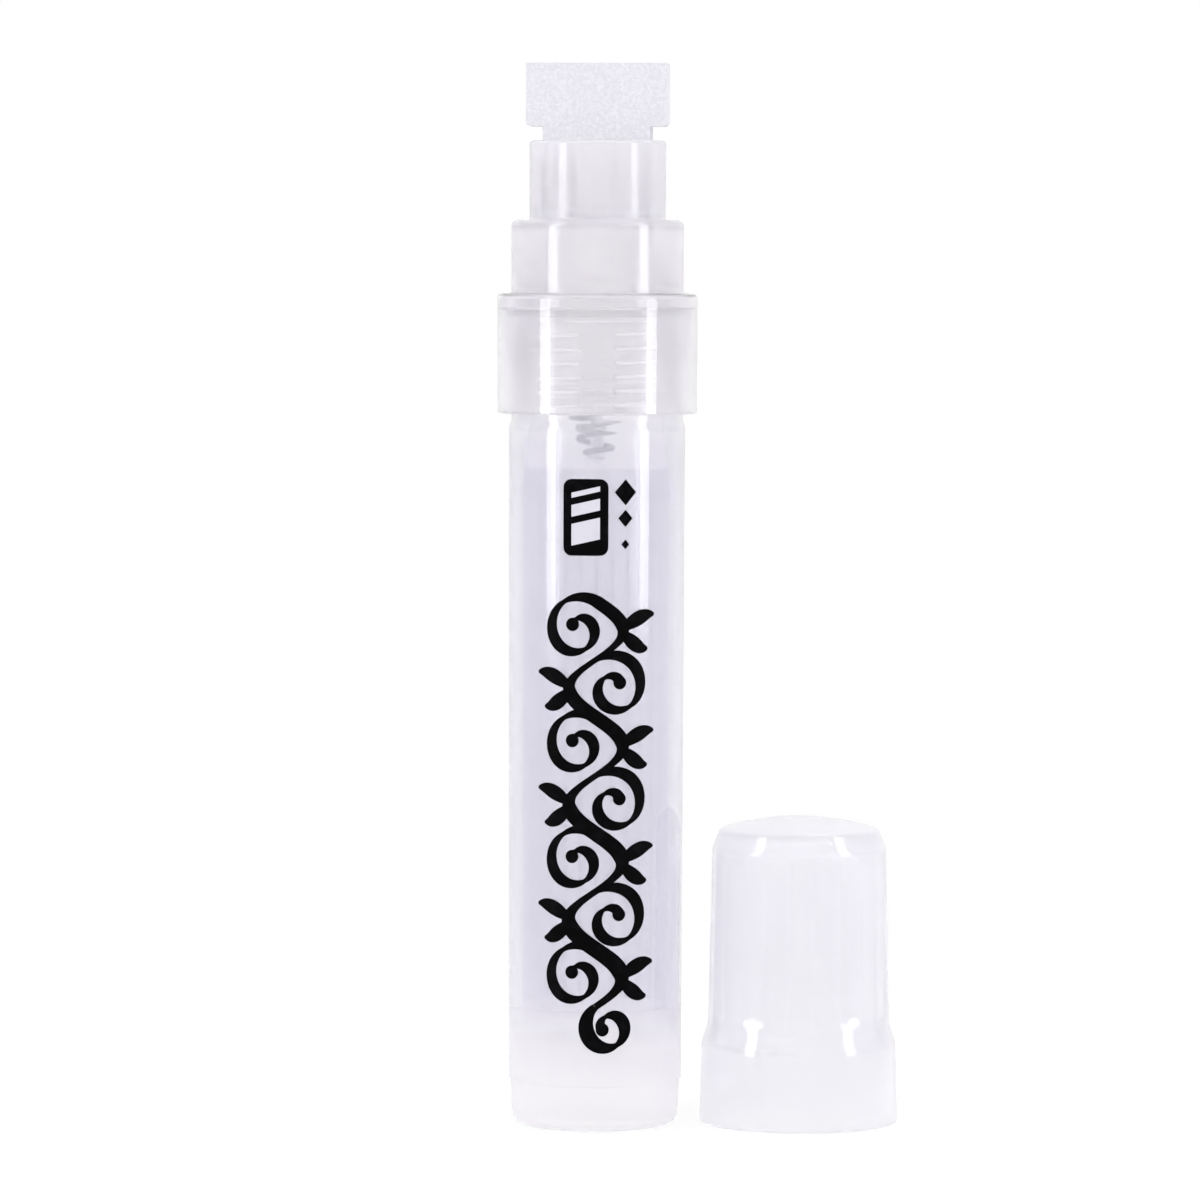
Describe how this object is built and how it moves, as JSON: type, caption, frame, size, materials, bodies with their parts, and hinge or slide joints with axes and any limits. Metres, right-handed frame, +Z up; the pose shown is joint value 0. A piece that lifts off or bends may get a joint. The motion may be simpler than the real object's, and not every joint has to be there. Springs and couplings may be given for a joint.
{
  "type": "refillable pump marker",
  "caption": "Empty refillable pump marker: clear barrel, screw-on front section with spring valve, wide felt chisel nib, and its fluted cap stood beside it.",
  "frame": {"origin": "centre of the marker's flat base, on the barrel's axis", "axes": "+Z up along the barrel's axis to the nib, +X towards the cap that stands beside the marker, -Y towards the printed front"},
  "size_m": [0.0432, 0.0232, 0.1134],
  "materials": {
    "clear_plastic": "natural polypropylene, translucent, glossy outside",
    "front_plastic": "natural polypropylene, milky, glossy",
    "cap_plastic": "natural polypropylene, milky, glossy",
    "valve_plastic": "natural polyethylene, fine matt",
    "seal_plastic": "soft white sealing washer",
    "spring_steel": "drawn stainless spring wire",
    "felt": "pressed white polyester felt"
  },
  "bodies": {
    "barrel": {"barrel": "clear_plastic", "tail_plug": "clear_plastic"},
    "seal": {"seal_ring": "seal_plastic"},
    "front": {"front_section": "front_plastic", "valve_holder": "valve_plastic", "valve_spring": "spring_steel"},
    "pump": {"valve_plunger": "valve_plastic"},
    "nib": {"nib": "felt"},
    "cap": {"cap": "cap_plastic"}
  },
  "joints": [
    {"name": "front_rise", "type": "slide", "parent": "barrel", "child": "seal", "axis": [0, 0, 1], "range_m": [0, 0.00863]},
    {"name": "front_turn", "type": "hinge", "parent": "seal", "child": "front", "pos_m": [0, 0, 0.0866], "axis": [0, 0, 1], "range_deg": [0, 2070]},
    {"name": "nib_press", "type": "slide", "parent": "front", "child": "pump", "axis": [0, 0, -1], "range_m": [0, 0.0013], "stiffness_N_per_m": 500, "springref_m": -0.001, "deforming": ["valve_spring"]},
    {"name": "nib_pull", "type": "slide", "parent": "pump", "child": "nib", "axis": [0, 0, 1], "range_m": [0, 0.011]},
    {"name": "cap_lift", "type": "slide", "parent": "barrel", "child": "cap", "axis": [0, 0, 1], "range_m": [0, 0.035]}
  ],
  "couplings": [
    {"joint": "front_turn", "follows": "front_rise", "rad_per_m": 4188.8}
  ]
}
